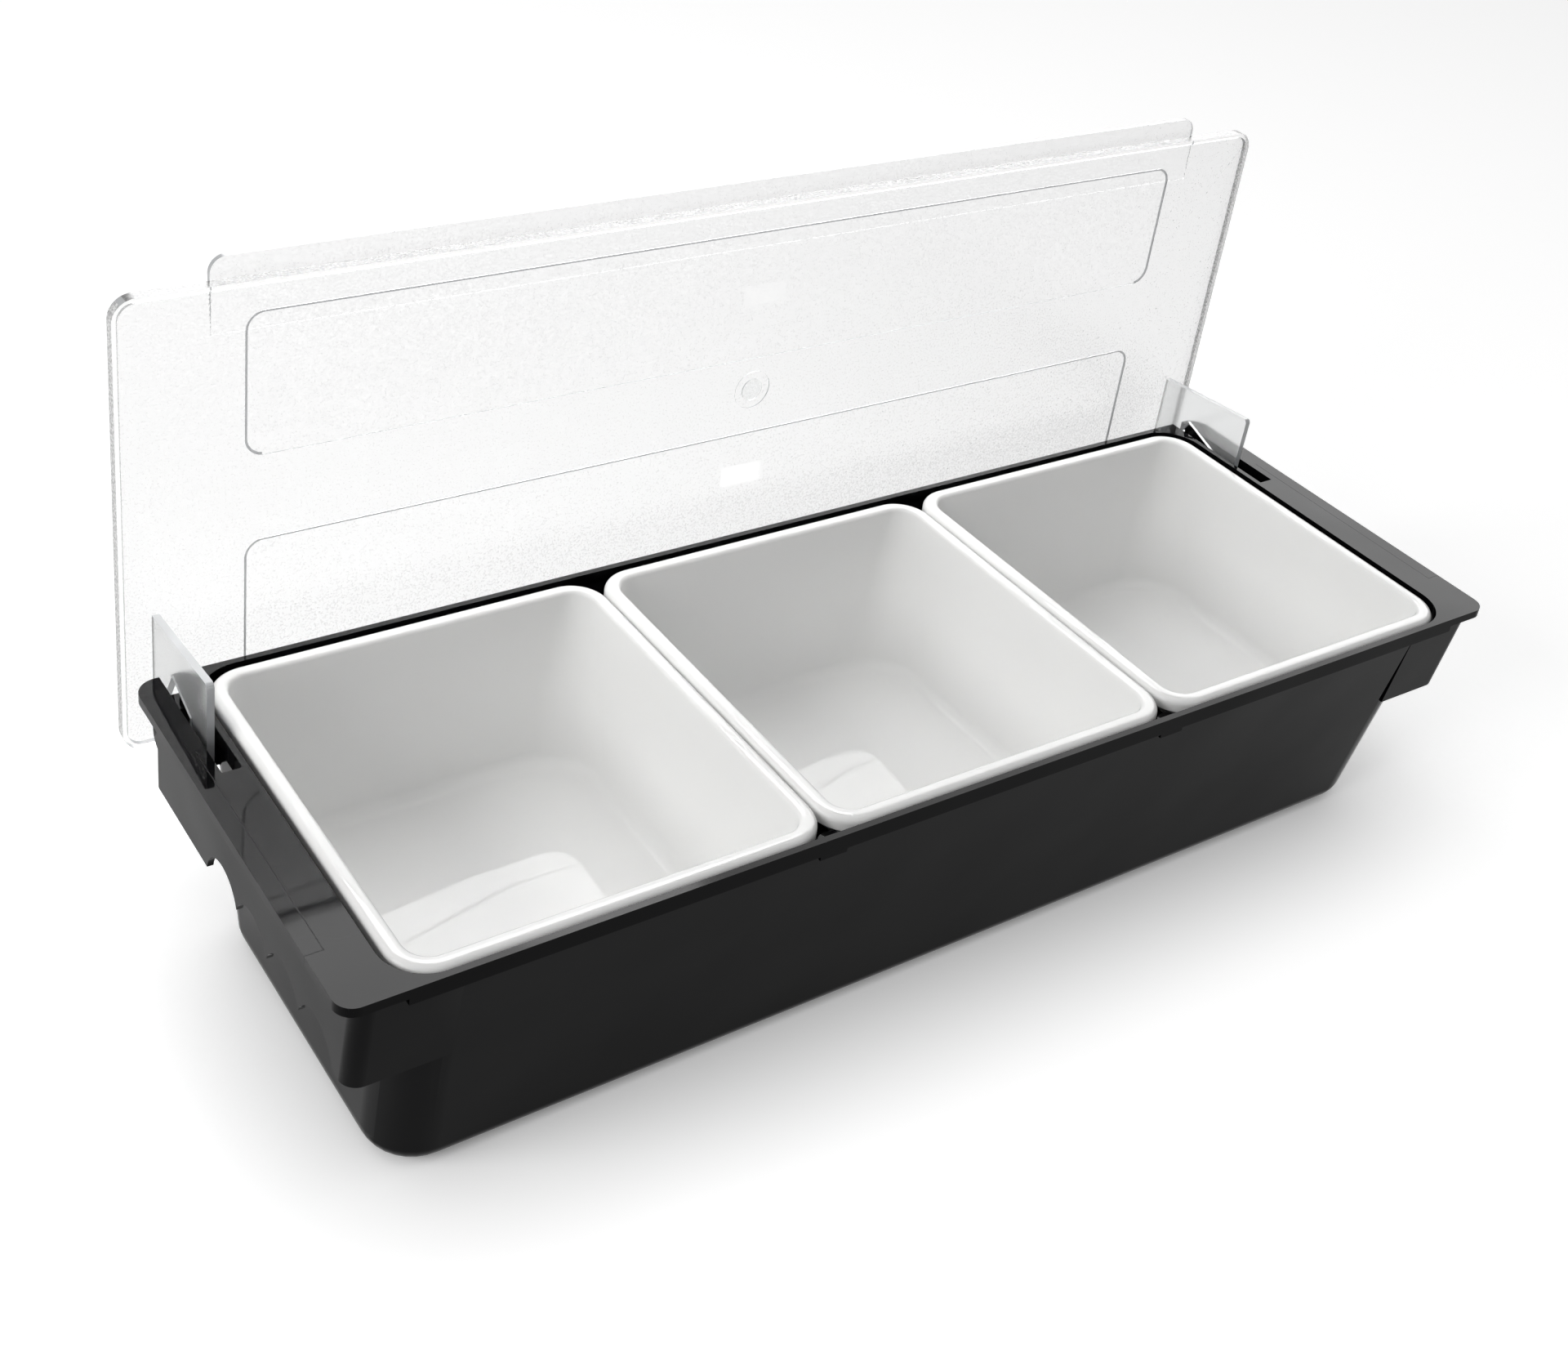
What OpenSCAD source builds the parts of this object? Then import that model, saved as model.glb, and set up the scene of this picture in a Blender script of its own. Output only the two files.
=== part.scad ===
// Bar caddy: a long tray that holds three lift-out pans under one hinged lid.
// The lid is drawn open, as it stands in use. Units are millimetres. The origin
// is the middle of the tray's flat bottom, with +X to the right, +Y to the
// hinge side and +Z up.

/* [Tray] */
// Length of the rim, end to end
tray_l = 500; // [480:1:520]
// Depth of the rim, front to back
tray_w = 168.5; // [164:0.5:176]
// Height of the rim above the table
tray_h = 100; // [92:1:110]
// Thickness of the tub's walls and floor
wall = 2.2; // [1.8:0.1:2.6]
// Distance from the end of the rim to the tub's end wall, at the top
end_inset = 21; // [20.5:0.1:22]
// Distance that the tub's end wall leans in over its height
end_lean = 3.5; // [1:0.5:8]
// Distance from the rim's front edge to the tub's front wall, at the top
side_inset = 2; // [1.4:0.1:2.4]
// Distance that the tub's front and back walls lean in over their height
side_lean = 14.5; // [8:0.5:15]
// Corner radius of the tub, seen from above
tub_r = 19; // [15:1:22]
// Radius between the tub's walls and its floor
floor_r = 11; // [6:1:14]

/* [Rim] */
// Thickness of the end plates that carry the handles and the hinge
plate_t = 3.5; // [3:0.1:4]
// Height of the rim's upright lip along the front and back
lip_h = 6; // [5.8:0.1:8]
// Width of the rim's flat top along the front and back
rim_w = 2.4; // [2:0.1:3]
// Corner radius of the rim at the front
rim_front_r = 6.5; // [4:0.5:8]
// Corner radius of the rim at the back, where the lid swings past it
rim_back_r = 8; // [7:0.5:9]
// Distance from the end of the rim to the recess for the pans
recess_inset = 18.5; // [18.2:0.1:19]
// Depth of the recess down to the ledge that the pans hang on
recess_d = 5; // [4.5:0.1:5.4]
// Corner radius of the recess
recess_r = 16; // [14:0.5:18]

/* [Handles] */
// Depth of the skirt under each end plate, from the top of the rim
skirt_h = 40.5; // [38:0.5:44]
// Distance from the end of the rim to the skirt's end face
skirt_inset = 6; // [5.4:0.1:6.4]
// Thickness of the skirt
skirt_t = 2.2; // [1.8:0.1:2.4]
// Number of finger scallops in the skirt's lower edge
scallops = 4; // [3:1:4]
// Distance between the scallops
scallop_pitch = 24.5; // [23:0.5:25]
// Radius of a scallop
scallop_r = 13; // [12.6:0.1:14]
// Distance of the scallops' centres below the top of the rim
scallop_drop = 43; // [41:0.5:46]
// Distance from the front of the rim to the first scallop's centre
scallop_start = 30.2; // [28:0.1:32]

/* [Pans] */
// Room between neighbouring pans
pan_gap = 0.6; // [0.4:0.1:1]
// Room between an end pan and the end of the recess
pan_end_gap = 2.3; // [1.6:0.1:3]
// Room between a pan and the front of the recess
pan_front_gap = 0.75; // [0.5:0.05:1.5]
// Room between a pan and the back of the recess
pan_back_gap = 1.95; // [1:0.05:2.5]
// Depth inside a pan
pan_d = 68; // [60:1:74]
// Thickness of a pan's wall
pan_t = 1.8; // [1.4:0.1:2]
// Width of the rolled edge
roll_w = 6; // [5.6:0.1:6.6]
// Height of the rolled edge
roll_h = 5.2; // [4.6:0.1:6]
// Corner radius of the rolled edge
pan_r = 14.5; // [12:0.5:16]
// Distance that a pan's end walls lean in over their depth
pan_end_lean = 3.5; // [2.5:0.5:8]
// Distance that a pan's front and back walls lean in over their depth
pan_side_lean = 9.5; // [9:0.5:12]
// Corner radius of a pan's floor, seen from above
pan_floor_r = 24; // [18:1:30]
// Radius between a pan's walls and its floor
pan_edge_r = 7; // [5:1:12]

/* [Lid] */
// Distance that the closed lid reaches past the rim, front and back together
lid_extra = 5; // [3.5:0.5:6]
// Thickness of the lid
lid_t = 2.4; // [2:0.1:3]
// Depth of the lid's turned edge, past its inner face
lid_edge_d = 2; // [1.6:0.1:2.2]
// Thickness of the lid's turned edge
lid_edge_t = 1.8; // [1.6:0.1:2]
// Corner radius of the lid
lid_r = 8; // [5:0.5:12]
// Distance from the end of the lid to the finger tab
tab_inset = 33; // [30:1:60]
// Height of the finger tab, most of it on the lid
tab_h = 27; // [20:1:32]
// Distance that the finger tab stands out past the lid's free edge
tab_out = 8; // [6:0.5:10]
// Thickness of the finger tab
tab_t = 2; // [1.6:0.1:2.4]
// Distance from the end of the lid to the two smooth panels
panel_inset = 44; // [40:1:60]
// Height of each smooth panel
panel_w = 54; // [48:0.5:56]
// Depth of the step round a panel
panel_d = 0.4; // [0.2:0.1:0.6]

/* [Hinge] */
// Height of the pivot below the top of the rim
pivot_drop = 18; // [17.8:0.1:18.2]
// Distance from the back of the rim to the pivot
pivot_back = 9.5; // [9.4:0.1:9.8]
// Distance from the pivot back to the open lid's inner face
lid_offset = 21.4; // [21.2:0.1:22]
// Distance from the pivot down to the open lid's lower edge
lid_below = 18.3; // [18:0.1:18.5]
// Radius of the nub that each ear turns on
nub_r = 2.4; // [2:0.1:2.8]
// Clearance round the nub in its bore, on the radius
nub_clear = 0.05; // [0.02:0.01:0.1]
// Radius of the ear round the nub
hub_r = 4.3; // [4:0.1:4.5]
// Thickness of an ear
ear_t = 2.6; // [2.2:0.1:3]
// Distance from the end of the lid to an ear's outer face
ear_inset = 11.5; // [11.2:0.1:11.8]
// Distance from the end of the rim to a slot's outer side
slot_inset = 9.5; // [9:0.1:10]
// Width of a slot
slot_w = 6.8; // [6:0.1:6.8]
// Length of a slot, from the back of the rim
slot_l = 56; // [55.8:0.1:58]

/* [Hidden] */
$fn = 48;
tray_black = [0.05, 0.05, 0.055];
pan_white = [0.93, 0.93, 0.92];
lid_clear = [0.86, 0.9, 0.92, 0.45];
eps = 0.01;          // overlap of pieces that are one moulding
slab = 0.2;          // thickness of the slices that a hull joins
cut = 1;             // how far a cut runs past the face it opens
seat_gap = 0.2;      // room under a pan's rolled edge
hull_fn = 32;        // facets of a hull's own round pieces
half_l = tray_l / 2;
half_w = tray_w / 2;
recess_l = tray_l - 2 * recess_inset;
recess_w = tray_w - 2 * rim_w;
ledge_z = tray_h - recess_d;
lip_z = tray_h - lip_h;
skirt_z = tray_h - skirt_h;
tub_l = tray_l - 2 * end_inset;
tub_w = tray_w - 2 * side_inset;
skirt_r = 6;         // corner radius of the skirt
web_end = end_inset + tub_r;  // where the skirt's turned-in sides meet the tub
pan_l = (recess_l - 2 * pan_end_gap - 2 * pan_gap) / 3;
pan_w = recess_w - pan_front_gap - pan_back_gap;
pan_pitch = pan_l + pan_gap;
pan_y = (pan_front_gap - pan_back_gap) / 2;
roll_edge = 2.4;     // rounding of the rolled edge's top
bar_w = 8;           // width of the bars under the joints between pans
bar_drop = 3;        // how far the bars lie below the ledge
pad_r = 5.5;         // radius of the pads that carry the pans' corners
pivot_y = half_w - pivot_back;
pivot_z = tray_h - pivot_drop;
nub_gap = 0.6;       // room between an ear and the boss beside it
boss_in = ear_inset - nub_gap;
bore_skin = 1.4;     // wall left behind the blind bore
boss_r = 6.5;
bridge_l = 8.7;      // depth of the bar across each slot, front to back
bridge_t = 2.4;
bridge_rise = 11;    // height of the bar's top above the pivot
bridge_top = pivot_z + bridge_rise;
stop_gap = 0.3;      // room between the bar's rib and the ear when open
stop_t = 2;
lid_l = tray_l;
lid_w = tray_w + lid_extra;
lid_y = pivot_y + lid_offset;
lid_z = pivot_z - lid_below + lid_w / 2;
tab_l = lid_l - 2 * tab_inset;
tab_r = 6;
panel_l = lid_l - 2 * panel_inset;
panel_r = 7;
panel_top = 12;      // from the lid's free edge to the upper panel
panel_step = 87;     // from one panel to the next
gate_out_r = 8;      // ring left round the gate, outer and inner radius
gate_in_r = 4.6;
gate_drop = 14;      // from the upper panel's lower side to the gate
ear_h = 39.4;        // ear's top above the pivot, at its front corner
ear_root_h = 35;     // ear's top above the pivot, where it meets the lid
ear_front = 28.7;    // ear's front corner in front of the pivot
ear_leg = 28.2;      // foot of the ear's front edge in front of the pivot
ear_corner = 2;
notch_front = 13;    // lower front corner of the notch, in front of the pivot
notch_rise = [-13.5, 15.9];   // front corner of the notch
notch_peak = [3, 22];         // highest point of the notch
notch_back = [11.5, 7];       // back corner of the notch
ear_root_foot = 6.5; // ear's foot above the pivot, where it meets the lid
nub_play = 0.3;      // room past the end of a nub

// Rectangle with round corners, centred on the origin.
module rounded_rect(l, w, r) {
    square([l - 2 * r, w], center = true);
    square([l, w - 2 * r], center = true);
    for (x = [-1, 1], y = [-1, 1]) {
        translate([x * (l / 2 - r), y * (w / 2 - r)])
            circle(r);
    }
}

// Flat plate with round corners, its lower face at z.
module plate(l, w, r, z, h) {
    translate([0, 0, z])
        linear_extrude(h)
            rounded_rect(l, w, r);
}

// Disc whose lower edge is rounded, for the corners of a tub's floor.
module soft_disc(r, e) {
    rotate_extrude($fn = hull_fn) {
        square([r - e, e]);
        translate([r - e, e]) {
            intersection() {
                circle(e, $fn = hull_fn);
                translate([0, -e])
                    square([e, e]);
            }
        }
    }
}

// Solid of a tub: l by w at its mouth, leaning in by dl and dw over its height.
module tub_solid(l, w, r, h, dl, dw, floor_corner, edge) {
    hull() {
        translate([0, 0, h - slab])
            linear_extrude(slab)
                rounded_rect(l, w, r, $fn = hull_fn);
        for (x = [-1, 1], y = [-1, 1]) {
            translate([x * (l / 2 - dl - floor_corner), y * (w / 2 - dw - floor_corner), 0])
                soft_disc(floor_corner, edge);
        }
    }
}

module tub_outside() {
    tub_solid(tub_l, tub_w, tub_r, tray_h - plate_t, end_lean, side_lean, tub_r, floor_r);
}

module tub_inside() {
    translate([0, 0, wall])
        tub_solid(tub_l - 2 * wall, tub_w - 2 * wall, tub_r - wall, tray_h - wall,
                  end_lean, side_lean, tub_r - wall, floor_r - wall);
}

// Outline of the two skirts at one height, inset from the rim by the given
// distances at the ends, the front and the back.
module skirt_slice(z, ends, front, back, r) {
    l = tray_l - 2 * ends;
    translate([-l / 2, -half_w + front, z])
        linear_extrude(slab) {
            translate([r, 0])
                square([l - 2 * r, tray_w - front - back]);
            translate([0, r])
                square([l, tray_w - front - back - 2 * r]);
            for (x = [r, l - r], y = [r, tray_w - front - back - r]) {
                translate([x, y])
                    circle(r, $fn = hull_fn);
            }
        }
}

// The skirt's front leans in with the tub's front wall; its back is upright.
module skirt_solid(t, top, bottom) {
    lean = side_lean * (skirt_h - plate_t) / tray_h;
    r = skirt_r - t;
    hull() {
        skirt_slice(top - slab, skirt_inset + t, side_inset + t, side_inset + t, r);
        skirt_slice(bottom, skirt_inset + t, side_inset + lean + t, side_inset + t, r);
    }
}

module scallop_cuts() {
    for (i = [0 : scallops - 1]) {
        translate([0, -half_w + scallop_start + i * scallop_pitch, tray_h - scallop_drop])
            rotate([0, 90, 0])
                cylinder(h = tray_l + 2 * cut, r = scallop_r, center = true);
    }
}

// Skirts under both end plates: an end wall with finger scallops, turned in
// at the front and back. The front runs flush into the tub's front wall; a
// short rib at the back closes the room that the leaning tub leaves there.
module skirts() {
    difference() {
        skirt_solid(0, tray_h - plate_t + eps, skirt_z);
        difference() {
            skirt_solid(skirt_t, tray_h - plate_t + eps, skirt_z - slab);
            both_ends()
                translate([-half_l + web_end - skirt_t, 0, skirt_z - cut])
                    cube([skirt_t, half_w, skirt_h + cut]);
        }
        scallop_cuts();
        translate([-half_l + web_end, -half_w, skirt_z - cut])
            cube([tray_l - 2 * web_end, tray_w, skirt_h + cut]);
    }
}

// Step under the recess that the pans' rolled edges hang on.
module recess_seat() {
    plate(recess_l + 2 * wall, tray_w - 2 * side_inset, recess_r, ledge_z - wall,
          recess_d + wall - plate_t + eps);
}

// Outline of the rim, with its own corner radii at the front and the back.
module rim_outline() {
    translate([-half_l + rim_front_r, -half_w])
        square([tray_l - 2 * rim_front_r, half_w]);
    translate([-half_l + rim_back_r, 0])
        square([tray_l - 2 * rim_back_r, half_w]);
    translate([-half_l, -half_w + rim_front_r])
        square([tray_l, tray_w - rim_front_r - rim_back_r]);
    for (side = [-1, 1]) {
        translate([side * (half_l - rim_front_r), -half_w + rim_front_r])
            circle(rim_front_r);
        translate([side * (half_l - rim_back_r), half_w - rim_back_r])
            circle(rim_back_r);
    }
}

module rim() {
    translate([0, 0, tray_h - plate_t])
        linear_extrude(plate_t)
            rim_outline();
    translate([-half_l + end_inset, -half_w, lip_z])
        cube([tub_l, tray_w, lip_h - plate_t + eps]);
}

// Bars from front to back below the joints between the pans, and the round
// pads at their ends.
module pan_bars() {
    for (x = [-pan_pitch / 2, pan_pitch / 2]) {
        translate([x - bar_w / 2, -half_w + side_inset + wall / 2, ledge_z - bar_drop - wall])
            cube([bar_w, tray_w - 2 * side_inset - wall, wall]);
        intersection() {
            plate(recess_l, recess_w + eps, recess_r, ledge_z - bar_drop - wall, bar_drop + wall);
            for (side = [-1, 1]) {
                translate([x, side * (recess_w / 2 - 1), 0])
                    cylinder(h = tray_h, r = pad_r);
            }
        }
    }
}

// Everything at the left hinge: the boss with its blind bore for the nub, and
// the bar across the slot, with the rib that stops the open lid.
module hinge_mount() {
    slot_x = -half_l + slot_inset;
    difference() {
        translate([-half_l + skirt_inset, pivot_y, pivot_z])
            rotate([0, 90, 0])
                cylinder(h = boss_in - skirt_inset, r = boss_r);
        translate([-half_l + skirt_inset - cut, half_w - side_inset - eps, pivot_z - 2 * boss_r])
            cube([boss_in, 2 * boss_r, 4 * boss_r]);
    }
    translate([slot_x - skirt_t, half_w - side_inset - bridge_l, bridge_top - bridge_t])
        cube([slot_w + 2 * skirt_t, bridge_l, bridge_t]);
    translate([slot_x - skirt_t, half_w - side_inset - bridge_l, pivot_z + hub_r + stop_gap])
        cube([slot_w + 2 * skirt_t, stop_t, bridge_top - pivot_z - hub_r - stop_gap]);
    for (x = [slot_x - skirt_t, slot_x + slot_w]) {
        translate([x, half_w - side_inset - bridge_l, pivot_z + hub_r])
            cube([skirt_t, bridge_l, pivot_drop - hub_r - plate_t + eps]);
    }
}

module hinge_cuts() {
    translate([-half_l + skirt_inset + bore_skin, pivot_y, pivot_z])
        rotate([0, 90, 0])
            cylinder(h = boss_in, r = nub_r + nub_clear);
    translate([-half_l + slot_inset, half_w - slot_l, bridge_top])
        cube([slot_w, slot_l + cut, tray_h]);
}

module both_ends() {
    children();
    mirror([1, 0, 0])
        children();
}

module tray() {
    color(tray_black) {
        difference() {
            union() {
                rim();
                recess_seat();
                tub_outside();
                skirts();
                both_ends()
                    hinge_mount();
            }
            tub_inside();
            plate(recess_l, recess_w, recess_r, ledge_z, recess_d + cut);
            both_ends()
                hinge_cuts();
        }
        pan_bars();
    }
}

// Solid of a pan's body, grown outward by t from its inside.
module pan_body(t) {
    l = pan_l - 2 * roll_w + 2 * t;
    w = pan_w - 2 * roll_w + 2 * t;
    translate([0, 0, roll_h - pan_d - t])
        tub_solid(l, w, pan_r - roll_w + t, pan_d + t, pan_end_lean, pan_side_lean,
                  pan_floor_r + t, pan_edge_r + t);
}

// Rolled edge: a round-topped rim turned down all round, hollow underneath.
module pan_roll() {
    hull() {
        plate(pan_l, pan_w, pan_r, 0, roll_h - roll_edge);
        for (x = [-1, 1], y = [-1, 1]) {
            translate([x * (pan_l / 2 - pan_r), y * (pan_w / 2 - pan_r), roll_h])
                mirror([0, 0, 1])
                    soft_disc(pan_r, roll_edge);
        }
    }
}

// One pan, with the underside of its rolled edge at z = 0.
module pan() {
    color(pan_white) {
        difference() {
            union() {
                difference() {
                    pan_roll();
                    plate(pan_l - 2 * pan_t, pan_w - 2 * pan_t, pan_r - pan_t,
                          -cut, roll_h - pan_t + cut);
                }
                pan_body(pan_t);
            }
            translate([0, 0, eps])
                pan_body(0);
        }
    }
}

module pan_at(i) {
    translate([i * pan_pitch, pan_y, ledge_z + seat_gap])
        pan();
}

module pan_left() {
    pan_at(-1);
}

module pan_middle() {
    pan_at(0);
}

module pan_right() {
    pan_at(1);
}

// The lid is made lying on its outer face, with its free edge at +Y, and is
// then stood up. Here z is the distance in front of that outer face.
module lid_sheet() {
    plate(lid_l, lid_w, lid_r, 0, lid_t);
    difference() {
        plate(lid_l, lid_w, lid_r, 0, lid_t + lid_edge_d);
        plate(lid_l - 2 * lid_edge_t, lid_w - 2 * lid_edge_t, lid_r - lid_edge_t,
              lid_t, lid_edge_d + cut);
    }
}

// Step down of the two smooth panels, and the gate's ring between them.
module lid_marks() {
    for (y = [panel_y(0), panel_y(1)]) {
        translate([0, y, 0])
            plate(panel_l, panel_w, panel_r, lid_t - panel_d, cut);
    }
    translate([0, panel_y(0) - panel_w / 2 - gate_drop, lid_t - panel_d]) {
        difference() {
            cylinder(h = cut, r = gate_out_r);
            translate([0, 0, -cut])
                cylinder(h = 3 * cut, r = gate_in_r);
        }
    }
}

// Middle of the upper (0) and the lower (1) panel on the lid.
function panel_y(i) = lid_w / 2 - panel_top - panel_w / 2 - i * panel_step;

// Finger tab on the outer face, standing out past the free edge.
module finger_tab() {
    translate([-tab_l / 2, lid_w / 2 + tab_out - tab_h, -tab_t])
        linear_extrude(tab_t + eps) {
            square([tab_l, tab_h - tab_r]);
            translate([tab_r, 0])
                square([tab_l - 2 * tab_r, tab_h]);
            for (x = [tab_r, tab_l - tab_r]) {
                translate([x, tab_h - tab_r])
                    circle(tab_r);
            }
        }
}

// Outline of an ear, seen from the right with the pivot at the origin: the
// root stands on the lid, the notch clears the bar across the slot, and the
// arm under the notch carries the hub.
module ear_outline() {
    root = lid_offset + eps;
    polygon([[root, ear_root_h], [-ear_front + ear_corner, ear_h],
             [-ear_front, ear_h - ear_corner], [-ear_leg, -hub_r],
             [0, -hub_r], [0, hub_r], [-notch_front, hub_r],
             notch_rise, notch_peak, notch_back, [root, ear_root_foot]]);
    translate([-ear_front + ear_corner, ear_h - ear_corner])
        circle(ear_corner);
    circle(hub_r);
}

// Ear at the left end of the lid, with the nub that turns in the tray's boss.
module ear() {
    translate([-lid_l / 2 + ear_inset, pivot_y, pivot_z])
        rotate([90, 0, 90])
            linear_extrude(ear_t)
                ear_outline();
    nub_end = -half_l + skirt_inset + bore_skin + nub_play;
    translate([nub_end, pivot_y, pivot_z])
        rotate([0, 90, 0])
            cylinder(h = -lid_l / 2 + ear_inset + eps - nub_end, r = nub_r);
}

module lid() {
    color(lid_clear) {
        translate([0, lid_y + lid_t, lid_z])
            rotate([90, 0, 0]) {
                difference() {
                    lid_sheet();
                    lid_marks();
                }
                finger_tab();
            }
        both_ends()
            ear();
    }
}

tray();
pan_left();
pan_middle();
pan_right();
lid();
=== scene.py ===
import math

import bpy
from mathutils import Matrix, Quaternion, Vector


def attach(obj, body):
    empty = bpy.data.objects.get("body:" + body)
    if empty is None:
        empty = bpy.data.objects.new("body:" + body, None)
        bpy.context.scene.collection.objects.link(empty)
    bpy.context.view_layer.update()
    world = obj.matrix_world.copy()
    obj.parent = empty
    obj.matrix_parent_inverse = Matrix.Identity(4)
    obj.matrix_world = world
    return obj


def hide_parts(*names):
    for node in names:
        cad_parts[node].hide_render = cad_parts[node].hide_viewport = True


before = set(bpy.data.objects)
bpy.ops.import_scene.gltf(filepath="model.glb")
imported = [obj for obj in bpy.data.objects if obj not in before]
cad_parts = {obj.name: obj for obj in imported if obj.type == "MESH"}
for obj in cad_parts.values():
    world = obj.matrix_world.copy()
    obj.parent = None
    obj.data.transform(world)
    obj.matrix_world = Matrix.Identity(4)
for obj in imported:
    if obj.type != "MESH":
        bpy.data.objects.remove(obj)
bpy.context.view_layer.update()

bpy.ops.object.select_all(action="DESELECT")

# ---------------------------------------------------------------------------
# The camera
# A studio camera stands high at the front left of the caddy and looks down
# along it, turned a little about its own axis. The frame was shifted down so
# that the lid fits in without tilting the camera.
picture_w, picture_h = 1920, 1650
view_azimuth, view_elevation, view_roll = 38.16, 28.65, 8.23    # degrees
focal_px = 2571.5
axis_px = (949.2, 526.0)        # where the lens axis meets the picture
camera_place = (-0.4381, -0.4793, 0.5362)
bpy.ops.object.camera_add(location=camera_place)
camera = bpy.context.object
azimuth, elevation = math.radians(view_azimuth), math.radians(view_elevation)
ahead = Vector((math.sin(azimuth) * math.cos(elevation),
                math.cos(azimuth) * math.cos(elevation),
                -math.sin(elevation)))
camera.rotation_mode = "QUATERNION"
camera.rotation_quaternion = (ahead.to_track_quat("-Z", "Y")
                              @ Quaternion((0, 0, 1), math.radians(view_roll)))
camera.data.sensor_width = 36
camera.data.lens = 36 * focal_px / picture_w
camera.data.shift_x = (picture_w / 2 - axis_px[0]) / picture_w
camera.data.shift_y = (axis_px[1] - picture_h / 2) / picture_w
camera.data.clip_start, camera.data.clip_end = 0.01, 50
bpy.context.scene.camera = camera
bpy.context.scene.view_settings.view_transform = "Standard"

# ---------------------------------------------------------------------------
# The studio
# A white paper table in a white room. A wide softbox overhead and a smaller
# one at the left light everything. Two cards behind are not seen by matt
# surfaces: they are what the tray's top and the pans' floors reflect.
def linear(hex_colour):
    """The linear colour of an sRGB hex value such as "f0f0ee"."""
    parts = [int(hex_colour[i:i + 2], 16) / 255 for i in (0, 2, 4)]
    return [c / 12.92 if c <= 0.04045 else ((c + 0.055) / 1.055) ** 2.4 for c in parts] + [1]


def add_node(tree, kind, settings=None, links=None):
    """A node with its settings (a socket's value or a property) and its input links."""
    node = tree.nodes.new(kind)
    for name, value in (settings or {}).items():
        if isinstance(name, str) and hasattr(node, name):
            setattr(node, name, value)
        else:
            node.inputs[name].default_value = value
    for name, source in (links or {}).items():
        socket = source if isinstance(source, bpy.types.NodeSocket) else source.outputs[0]
        tree.links.new(socket, node.inputs[name])
    return node


def new_material(name):
    """A node material with nothing in it yet, and its tree."""
    material = bpy.data.materials.new(name)
    material.use_nodes = True
    material.node_tree.nodes.clear()
    return material, material.node_tree


world = bpy.data.worlds.new("white_room")      # dim as a light, white to look at
bpy.context.scene.world = world
world.use_nodes = True
tree = world.node_tree
tree.nodes.clear()
ray = add_node(tree, "ShaderNodeLightPath")
direct = add_node(tree, "ShaderNodeMath", {"operation": "MAXIMUM"},
                  {0: ray.outputs["Is Camera Ray"], 1: ray.outputs["Is Transmission Ray"]})
direct = add_node(tree, "ShaderNodeMath", {"operation": "MAXIMUM"},
                  {0: direct, 1: ray.outputs["Is Glossy Ray"]})
room = add_node(tree, "ShaderNodeBackground", {"Color": linear("ffffff"), "Strength": 0.31})
backdrop = add_node(tree, "ShaderNodeBackground", {"Color": linear("fefefe"), "Strength": 1})
shown = add_node(tree, "ShaderNodeMixShader", None, {0: direct, 1: room, 2: backdrop})
add_node(tree, "ShaderNodeOutputWorld", None, {"Surface": shown})

paper, tree = new_material("white_table_paper")      # white; close to the caddy its glow is dimmed by ambient occlusion, a painted shade beside the real shadow
ray = add_node(tree, "ShaderNodeLightPath")
direct = add_node(tree, "ShaderNodeMath", {"operation": "MAXIMUM"},
                  {0: ray.outputs["Is Camera Ray"], 1: ray.outputs["Is Transmission Ray"]})
direct = add_node(tree, "ShaderNodeMath", {"operation": "MAXIMUM"},
                  {0: direct, 1: ray.outputs["Is Glossy Ray"]})
card = add_node(tree, "ShaderNodeBsdfDiffuse", {"Color": linear("f4f4f4")})
# Ambient occlusion dims the glow near the caddy: painted shade, on top of the shadow the lamps
# cast.
ao_painted_shade = add_node(tree, "ShaderNodeAmbientOcclusion", {"Distance": 0.07})
glow_less_in_painted_shade = add_node(tree, "ShaderNodeMapRange", {"From Min": 0, "From Max": 0.95,
                                               "To Min": 0.08, "To Max": 0.5},
                  {"Value": ao_painted_shade.outputs["AO"]})
glow = add_node(tree, "ShaderNodeEmission", {"Color": linear("ffffff")}, {"Strength": glow_less_in_painted_shade})
lit = add_node(tree, "ShaderNodeAddShader", None, {0: card, 1: glow})
seen = add_node(tree, "ShaderNodeMixShader", None, {0: direct, 1: card, 2: lit})
add_node(tree, "ShaderNodeOutputMaterial", None, {"Surface": seen})
table_side = 12
bpy.ops.mesh.primitive_plane_add(size=table_side)
table = bpy.context.object
table.name = "table"
table.data.materials.append(paper)


def soft_lamp(name, place, target, width, height, watts, only_gloss=False):
    """A wide soft lamp that faces a point; matt surfaces may be made to miss it."""
    bpy.ops.object.light_add(type="AREA", location=place)
    lamp = bpy.context.object
    lamp.name = name
    lamp.data.shape = "RECTANGLE"
    lamp.data.size, lamp.data.size_y = width, height
    lamp.data.energy = watts
    lamp.rotation_mode = "QUATERNION"
    lamp.rotation_quaternion = (Vector(target) - Vector(place)).to_track_quat("-Z", "Y")
    lamp.visible_diffuse = not only_gloss


soft_lamp("softbox_overhead", (-0.15, 0.15, 1.9), (0, 0, 0.05), 1.8, 1.8, 9.5)
soft_lamp("softbox_left", (-1.75, -0.1, 0.95), (0, 0, 0.08), 1.2, 0.8, 17)
soft_lamp("gloss_card_behind_right", (1.2, 1.25, 1.25), (0, 0, 0.1), 2.6, 1.0, 70,
          only_gloss=True)
soft_lamp("gloss_card_behind", (0.375, 1.22, 1.735), (-0.24, -0.05, 0.1), 1.3, 0.6, 50,
          only_gloss=True)
bpy.ops.object.select_all(action="DESELECT")

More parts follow.
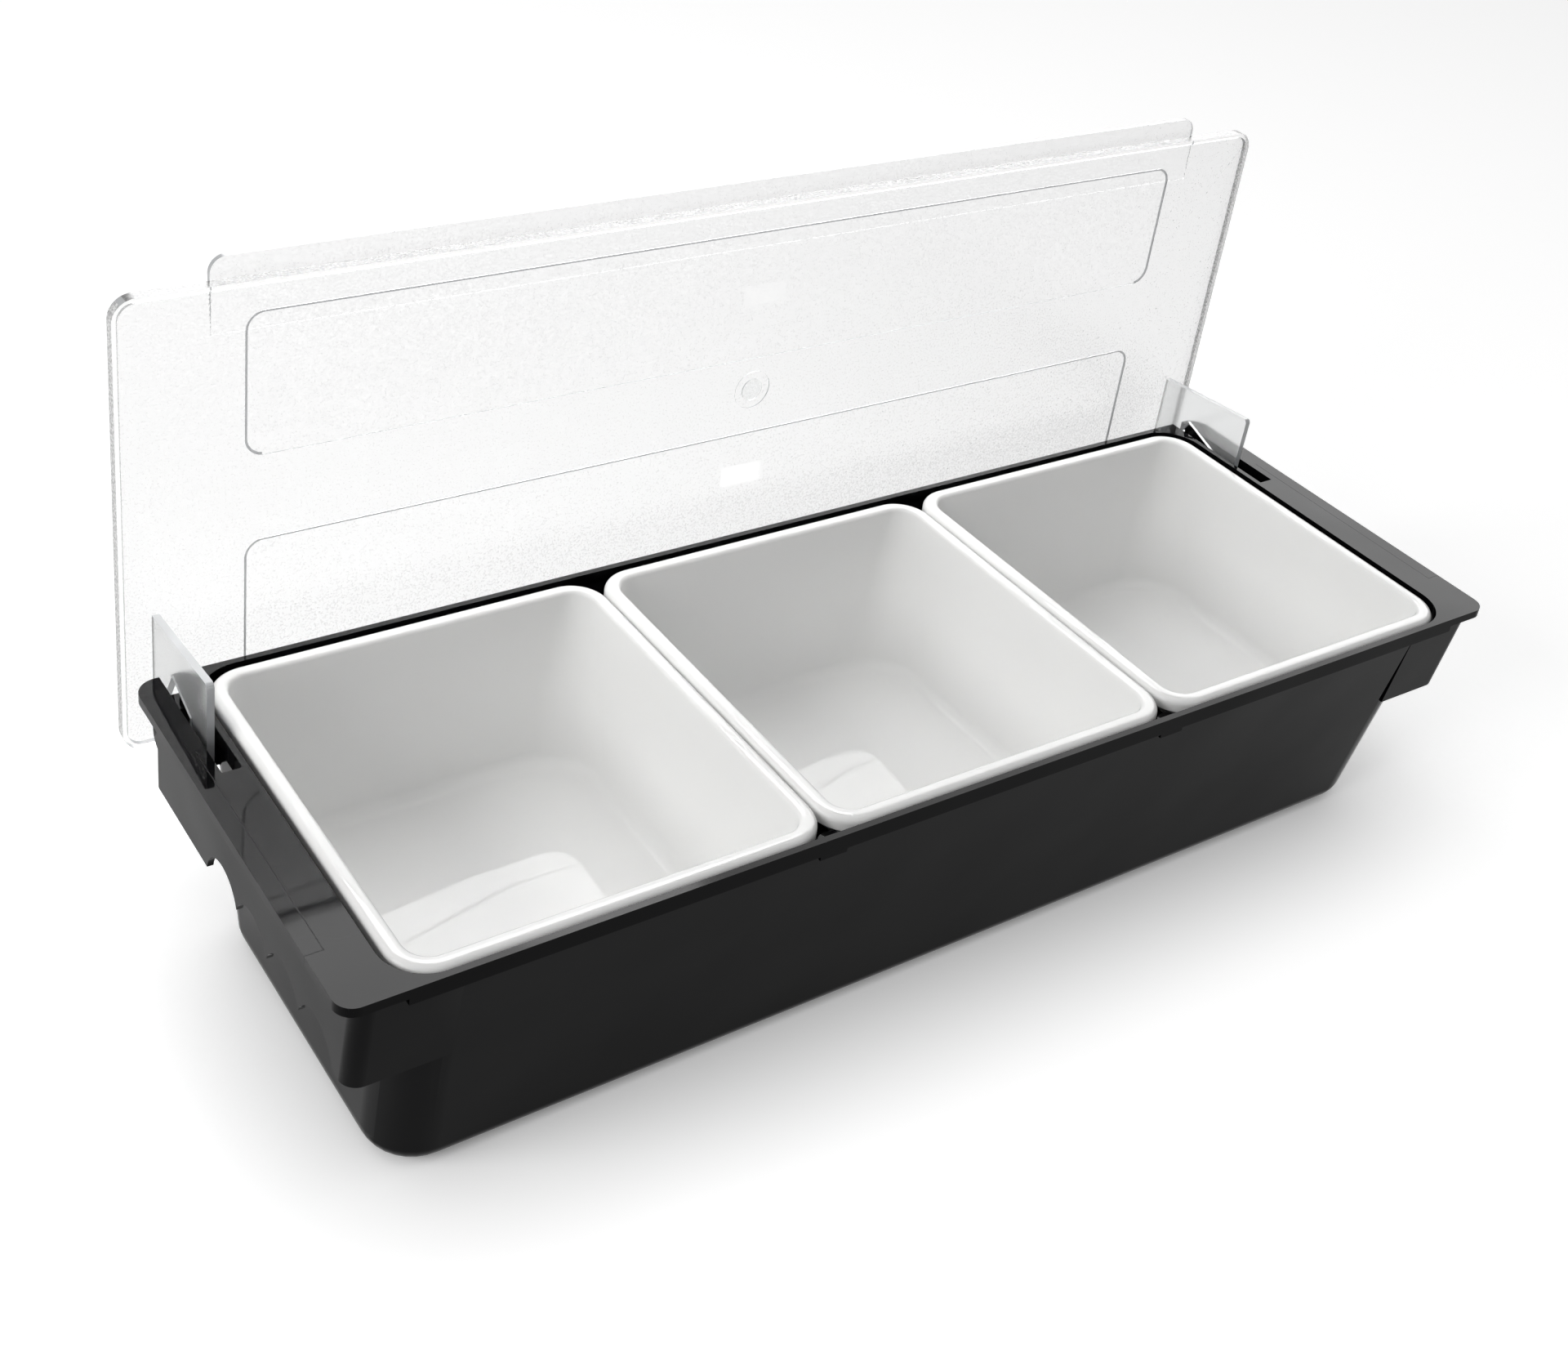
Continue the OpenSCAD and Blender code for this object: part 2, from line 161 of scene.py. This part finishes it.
# ---------------------------------------------------------------------------
# The tray
# One injection moulding in black ABS: tub, rim, end plates, scalloped skirts,
# slots and hinge bosses. The mould was polished; its parting edges are broken
# only a little, and the wide flat plates sank slightly as they cooled.
black_abs, tree = new_material("black_abs_polished")     # deep black under a clear gloss
place = add_node(tree, "ShaderNodeTexCoord").outputs["Object"]
sink = add_node(tree, "ShaderNodeTexNoise", {"Scale": 16, "Detail": 1.5, "Roughness": 0.45},
                {"Vector": place})                       # soft waves about 60 mm long
sunk = add_node(tree, "ShaderNodeBump", {"Strength": 0.09, "Distance": 0.01}, {"Height": sink})
haze = add_node(tree, "ShaderNodeTexNoise", {"Scale": 1400, "Detail": 2}, {"Vector": place})
matt = add_node(tree, "ShaderNodeMapRange", {"From Min": 0.3, "From Max": 0.7,
                                             "To Min": 0.045, "To Max": 0.075}, {"Value": haze})
spot = add_node(tree, "ShaderNodeSeparateXYZ", None, {0: place})
out_x = add_node(tree, "ShaderNodeMath", {"operation": "ABSOLUTE"}, {0: spot.outputs["X"]})
# A hair-thin parting mark runs along the top of each end plate.
seam_x, seam_run, end_x, end_y, top = [
    add_node(tree, "ShaderNodeMath", {"operation": "COMPARE", 1: middle, 2: reach}, {0: value})
    for value, middle, reach in ((out_x, 0.244, 0.0002), (spot.outputs["Y"], -0.0087, 0.05),
                                 (out_x, 0.247, 0.0033), (spot.outputs["Y"], -0.0587, 0.0002),
                                 (spot.outputs["Z"], 0.1, 0.008))]
seam_side = add_node(tree, "ShaderNodeMath", {"operation": "MULTIPLY"}, {0: seam_x, 1: seam_run})
seam_end = add_node(tree, "ShaderNodeMath", {"operation": "MULTIPLY"}, {0: end_x, 1: end_y})
seam = add_node(tree, "ShaderNodeMath", {"operation": "MAXIMUM"}, {0: seam_side, 1: seam_end})
seam = add_node(tree, "ShaderNodeMath", {"operation": "MULTIPLY"}, {0: seam, 1: top})
matt = add_node(tree, "ShaderNodeMapRange", {"To Max": 0.3}, {"Value": seam, "To Min": matt})
surface = add_node(tree, "ShaderNodeBsdfPrincipled", {
    "Base Color": linear("060607"), "IOR": 1.52, "Specular IOR Level": 0.035},
    {"Roughness": matt.outputs[0], "Normal": sunk})
add_node(tree, "ShaderNodeOutputMaterial", None, {"Surface": surface})


def smooth_copy(node, name):
    """A copy of a CAD node as one closed mesh, its flat faces whole again."""
    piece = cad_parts[node].copy()
    piece.data = piece.data.copy()
    piece.name = piece.data.name = name
    bpy.context.collection.objects.link(piece)
    bpy.context.view_layer.objects.active = piece
    piece.select_set(True)
    bpy.ops.object.mode_set(mode="EDIT")
    bpy.ops.mesh.select_all(action="SELECT")
    bpy.ops.mesh.remove_doubles(threshold=1e-6)
    bpy.ops.mesh.dissolve_limited(angle_limit=math.radians(0.1), use_dissolve_boundaries=False)
    bpy.ops.object.mode_set(mode="OBJECT")
    bpy.ops.object.shade_smooth_by_angle(angle=math.radians(30))
    piece.data.materials.clear()
    return piece


def flatten_shading(piece):
    """Let the large faces of a piece shade as true flats beside its roundings."""
    flats = piece.modifiers.new("true_flats", "WEIGHTED_NORMAL")
    flats.mode, flats.weight, flats.keep_sharp = "FACE_AREA", 100, True
    bpy.ops.object.modifier_apply(modifier=flats.name)


tray = smooth_copy("tray", "tray_moulding")
tray.data.materials.append(black_abs)
rounded = tray.modifiers.new("broken_edges", "BEVEL")
rounded.width, rounded.segments, rounded.limit_method = 0.0005, 2, "ANGLE"
rounded.angle_limit = math.radians(40)
rounded.harden_normals = True
bpy.ops.object.modifier_apply(modifier=rounded.name)
flatten_shading(tray)
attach(tray, "tray")
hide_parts("tray")
bpy.ops.object.select_all(action="DESELECT")

# ---------------------------------------------------------------------------
# The pans
# Three alike, injection moulded in white ABS with a polished inside. The rim
# is rolled over and turned down; walls lean in, and the round corners widen
# from the rim down to the floor.
white_abs, tree = new_material("white_abs_polished")     # milky white with a soft sheen
place = add_node(tree, "ShaderNodeTexCoord").outputs["Object"]
haze = add_node(tree, "ShaderNodeTexNoise", {"Scale": 900, "Detail": 2}, {"Vector": place})
matt = add_node(tree, "ShaderNodeMapRange", {"From Min": 0.3, "From Max": 0.7,
                                             "To Min": 0.02, "To Max": 0.035}, {"Value": haze})
surface = add_node(tree, "ShaderNodeBsdfPrincipled", {
    "Base Color": linear("e8e8e7"), "IOR": 1.52, "Specular IOR Level": 0.14,
    "Subsurface Weight": 0.08, "Subsurface Radius": (1, 0.95, 0.9), "Subsurface Scale": 0.002},
    {"Roughness": matt.outputs[0]})
add_node(tree, "ShaderNodeOutputMaterial", None, {"Surface": surface})

pan_top, pan_under, pan_floor = 0.1004, 0.0952, 0.0324
rim_half = (0.0762, 0.0805)
mouth_half = (0.0702, 0.0745)
floor_half = (0.0667, 0.065)
rim_corner, mouth_corner, floor_corner = 0.0145, 0.0085, 0.024
rim_edge, mouth_edge, floor_edge = 0.0026, 0.0013, 0.005     # radii of the roundings
pan_wall, pan_pitch, pan_shift = 0.0018, 0.153, -0.0006


def corner_ring(half, corner, z, keep_face=False):
    """A level rectangle with round corners, drawn in edit mode."""
    bpy.ops.mesh.select_all(action="DESELECT")
    bpy.ops.mesh.primitive_plane_add(size=2, location=(0, 0, z))
    bpy.ops.transform.resize(value=(half[0], half[1], 1), center_override=(0, 0, z))
    bpy.ops.mesh.bevel(offset=corner, segments=12, affect="VERTICES")
    if not keep_face:
        bpy.ops.mesh.delete(type="ONLY_FACE")


def pick_edges(piece, belongs):
    """Select the edges whose two ends both pass a test, in edit mode."""
    bpy.ops.mesh.select_all(action="DESELECT")
    bpy.ops.mesh.select_mode(type="EDGE")
    bpy.ops.object.mode_set(mode="OBJECT")
    for edge in piece.data.edges:
        edge.select = all(belongs(piece.data.vertices[i].co) for i in edge.vertices)
    bpy.ops.object.mode_set(mode="EDIT")


def on_ring(v, half, corner, z):
    """Whether a point lies on the rectangle with round corners at height z."""
    past = [max(abs(at) - size + corner, 0) for at, size in zip(v, half)]
    return abs(math.hypot(*past) - corner) < 4e-5 and abs(v.z - z) < 1e-5


def on_mouth(v):
    return on_ring(v, mouth_half, mouth_corner, pan_top)


def on_rim(v):
    return on_ring(v, rim_half, rim_corner, pan_top)


def on_underside(v):
    return on_ring(v, rim_half, rim_corner, pan_under)


bpy.ops.mesh.primitive_plane_add(size=0.01)
pan = bpy.context.object
pan.name = pan.data.name = "pan_moulding"
bpy.ops.object.mode_set(mode="EDIT")
bpy.ops.mesh.delete(type="VERT")
corner_ring(floor_half, floor_corner, pan_floor, keep_face=True)
corner_ring(rim_half, rim_corner, pan_top, keep_face=True)
bpy.ops.mesh.inset(thickness=rim_half[0] - mouth_half[0])
bpy.ops.mesh.delete(type="ONLY_FACE")
pick_edges(pan, lambda v: on_mouth(v) or v.z < pan_floor + 1e-5)
bpy.ops.mesh.bridge_edge_loops(number_cuts=5)
pick_edges(pan, lambda v: v.z < pan_floor + 1e-5)
bpy.ops.mesh.bevel(offset=floor_edge, segments=6, affect="EDGES")
corner_ring(rim_half, rim_corner, pan_under)
pick_edges(pan, lambda v: on_rim(v) or on_underside(v))
bpy.ops.mesh.bridge_edge_loops()
pick_edges(pan, on_mouth)
bpy.ops.mesh.bevel(offset=mouth_edge, segments=3, affect="EDGES")
pick_edges(pan, on_rim)
bpy.ops.mesh.bevel(offset=rim_edge, segments=5, affect="EDGES")
bpy.ops.mesh.select_all(action="SELECT")
bpy.ops.mesh.remove_doubles(threshold=1e-6)
bpy.ops.mesh.normals_make_consistent(inside=False)
bpy.ops.object.mode_set(mode="OBJECT")
if max(pan.data.polygons, key=lambda f: f.area).normal.z < 0:
    pan.data.flip_normals()
wall = pan.modifiers.new("wall", "SOLIDIFY")
wall.thickness, wall.offset, wall.use_even_offset = pan_wall, -1, True
bpy.ops.object.modifier_apply(modifier=wall.name)
bpy.ops.object.shade_smooth_by_angle(angle=math.radians(35))
pan.data.materials.append(white_abs)
for step, node in ((-1, "pan_left"), (0, "pan_middle"), (1, "pan_right")):
    each = pan.copy()
    each.data = pan.data.copy()
    each.name = each.data.name = node + "_moulding"
    each.location = (step * pan_pitch, pan_shift, 0)
    bpy.context.collection.objects.link(each)
    bpy.ops.object.select_all(action="DESELECT")
    each.select_set(True)
    bpy.context.view_layer.objects.active = each
    bpy.ops.object.transform_apply(location=True, rotation=True, scale=True)
    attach(each, node)
    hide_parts(node)
bpy.data.objects.remove(pan)
bpy.ops.object.select_all(action="DESELECT")

# ---------------------------------------------------------------------------
# The lid
# One injection moulding in clear polystyrene: a sheet with a turned edge, two
# panels sunk into it, a finger tab, and the two ears that hook into the tray.
# The mould was etched to a fine pebble but for the ears and two small windows.
clear_ps, tree = new_material("clear_polystyrene_pebbled")   # clear, with a frosty sparkle
place = add_node(tree, "ShaderNodeTexCoord").outputs["Object"]
spot = add_node(tree, "ShaderNodeSeparateXYZ", None, {0: place})
grains = add_node(tree, "ShaderNodeTexNoise", {"Scale": 1300, "Detail": 1.5},
                  {"Vector": place})                     # grains about 0.8 mm across
# Two small windows in the middle are left smooth, the upper one less so.
low_z, high_z, window_x, on_sheet = [
    add_node(tree, "ShaderNodeMath", {"operation": kind, 1: limit, 2: reach}, {0: value})
    for kind, value, limit, reach in (("COMPARE", spot.outputs["Z"], 0.1185, 0.0045),
                                      ("COMPARE", spot.outputs["Z"], 0.1982, 0.0042),
                                      ("COMPARE", spot.outputs["X"], 0.0005, 0.0095),
                                      ("GREATER_THAN", spot.outputs["Y"], 0.0958, 0))]
faint = add_node(tree, "ShaderNodeMath", {"operation": "MULTIPLY", 1: 0.4}, {0: high_z})
windows = add_node(tree, "ShaderNodeMath", {"operation": "MAXIMUM"}, {0: low_z, 1: faint})
windows = add_node(tree, "ShaderNodeMath", {"operation": "MULTIPLY"}, {0: windows, 1: window_x})
etched = add_node(tree, "ShaderNodeMath", {"operation": "SUBTRACT"}, {0: on_sheet, 1: windows})
cloud = add_node(tree, "ShaderNodeMapRange", {"From Min": 0.35, "From Max": 0.65,
                                              "To Min": 0.76, "To Max": 0.95},
                 {"Value": grains})                      # grains scatter a little light
clear = add_node(tree, "ShaderNodeMapRange", {"To Min": 0.94},
                 {"Value": etched, "To Max": cloud})
height = add_node(tree, "ShaderNodeMath", {"operation": "MULTIPLY"}, {0: grains, 1: etched})
pebble = add_node(tree, "ShaderNodeBump", {"Strength": 0.35, "Distance": 0.0004},
                  {"Height": height})
matt = add_node(tree, "ShaderNodeMapRange", {"To Min": 0.02, "To Max": 0.12}, {"Value": etched})
surface = add_node(tree, "ShaderNodeBsdfPrincipled", {
    "IOR": 1.5, "Transmission Weight": 1.0},
    {"Base Color": clear, "Roughness": matt.outputs[0], "Normal": pebble})
add_node(tree, "ShaderNodeOutputMaterial", None, {"Surface": surface})

edge_painted_shade, tree = new_material("clear_polystyrene_edge_painted_shade")      # grey painted shade, standing for light trapped in the cut edges and steps
surface = add_node(tree, "ShaderNodeBsdfPrincipled", {
    "Base Color": linear("babcbe"), "IOR": 1.5, "Roughness": 0.3, "Transmission Weight": 0.35})
add_node(tree, "ShaderNodeOutputMaterial", None, {"Surface": surface})

turned_edge_painted_shade, tree = new_material("clear_polystyrene_turned_painted_shade")  # grey painted shade along the turned edge, speckled by grains
place = add_node(tree, "ShaderNodeTexCoord").outputs["Object"]
grains = add_node(tree, "ShaderNodeTexNoise", {"Scale": 1100, "Detail": 1}, {"Vector": place})
cloud = add_node(tree, "ShaderNodeMapRange", {"From Min": 0.4, "From Max": 0.62,
                                              "To Min": 0.4, "To Max": 0.85}, {"Value": grains})
spot = add_node(tree, "ShaderNodeSeparateXYZ", None, {0: place})
top_painted_darker = add_node(tree, "ShaderNodeMath", {"operation": "COMPARE", 1: 0.2368, 2: 0.001},
                     {0: spot.outputs["Z"]})             # painted shade: the top edge, seen end on, is painted darker still
shade = add_node(tree, "ShaderNodeMapRange", {"To Min": 1, "To Max": 0.35}, {"Value": top_painted_darker})
cloud = add_node(tree, "ShaderNodeMath", {"operation": "MULTIPLY"}, {0: cloud, 1: shade})
surface = add_node(tree, "ShaderNodeBsdfPrincipled", {
    "IOR": 1.5, "Roughness": 0.3, "Transmission Weight": 0.35}, {"Base Color": cloud})
add_node(tree, "ShaderNodeOutputMaterial", None, {"Surface": surface})

frosted_ear, tree = new_material("clear_polystyrene_frosted")   # smooth, a little milky
surface = add_node(tree, "ShaderNodeBsdfPrincipled", {
    "Base Color": linear("f0f1f1"), "IOR": 1.5, "Roughness": 0.15, "Transmission Weight": 0.86})
add_node(tree, "ShaderNodeOutputMaterial", None, {"Surface": surface})

lid = smooth_copy("lid", "lid_moulding")
flatten_shading(lid)
for material in (clear_ps, edge_painted_shade, turned_edge_painted_shade, frosted_ear):
    lid.data.materials.append(material)
pebbled, edge, turned, frosted = range(4)
inner_face, panel_face = 0.09615, 0.09655      # how far back the sheet and its panels lie
tab_foot, tab_behind, thin_tab = 0.2182, 0.1, 0.0987
bpy.ops.object.mode_set(mode="EDIT")
bpy.ops.mesh.select_mode(type="FACE")
bpy.ops.mesh.select_all(action="DESELECT")
bpy.ops.object.mode_set(mode="OBJECT")
for face in lid.data.polygons:
    face.select = abs(face.center.y - panel_face) < 2e-5 and face.area > 0.003
bpy.ops.object.mode_set(mode="EDIT")
bpy.ops.mesh.inset(thickness=0.0009, use_individual=True)
bpy.ops.mesh.select_all(action="DESELECT")
bpy.ops.object.mode_set(mode="OBJECT")
for corner in lid.data.vertices:               # the finger tab thins towards its foot
    if abs(corner.co.z - tab_foot) < 1e-4 and corner.co.y > tab_behind:
        corner.co.y = thin_tab
gate = Vector((0, inner_face, 0.1547))         # the mark of the mould's inlet
# The cut edges and steps take the grey painted shade; the turned edge takes its own painted
# shade.
for face in lid.data.polygons:
    x, y, z = face.center
    on_ear = y < 0.0935 and z < 0.125
    at_gate = (face.center - gate).length < 0.012
    at_step = abs(y - panel_face) < 2e-5 and face.area < 0.001 and not at_gate
    below_panel = (z < 0.0858 or abs(z - 0.1715) < 0.0015) and abs(x) < 0.2
    at_border = abs(x) > 0.247 or abs(z - 0.15045) > 0.0858
    if not on_ear and at_border and y < 0.0985 and face.normal.y < 0.5:
        face.material_index = turned
    elif at_gate and face.area < 8e-5 and abs(y - inner_face) < 2e-5:
        face.material_index = frosted
    elif at_step and below_panel:
        face.material_index = pebbled
    elif at_step or abs(face.normal.x if on_ear else face.normal.y) < 0.5:
        face.material_index = edge
    elif on_ear:
        face.material_index = frosted
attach(lid, "lid")
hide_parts("lid")
bpy.ops.object.select_all(action="DESELECT")
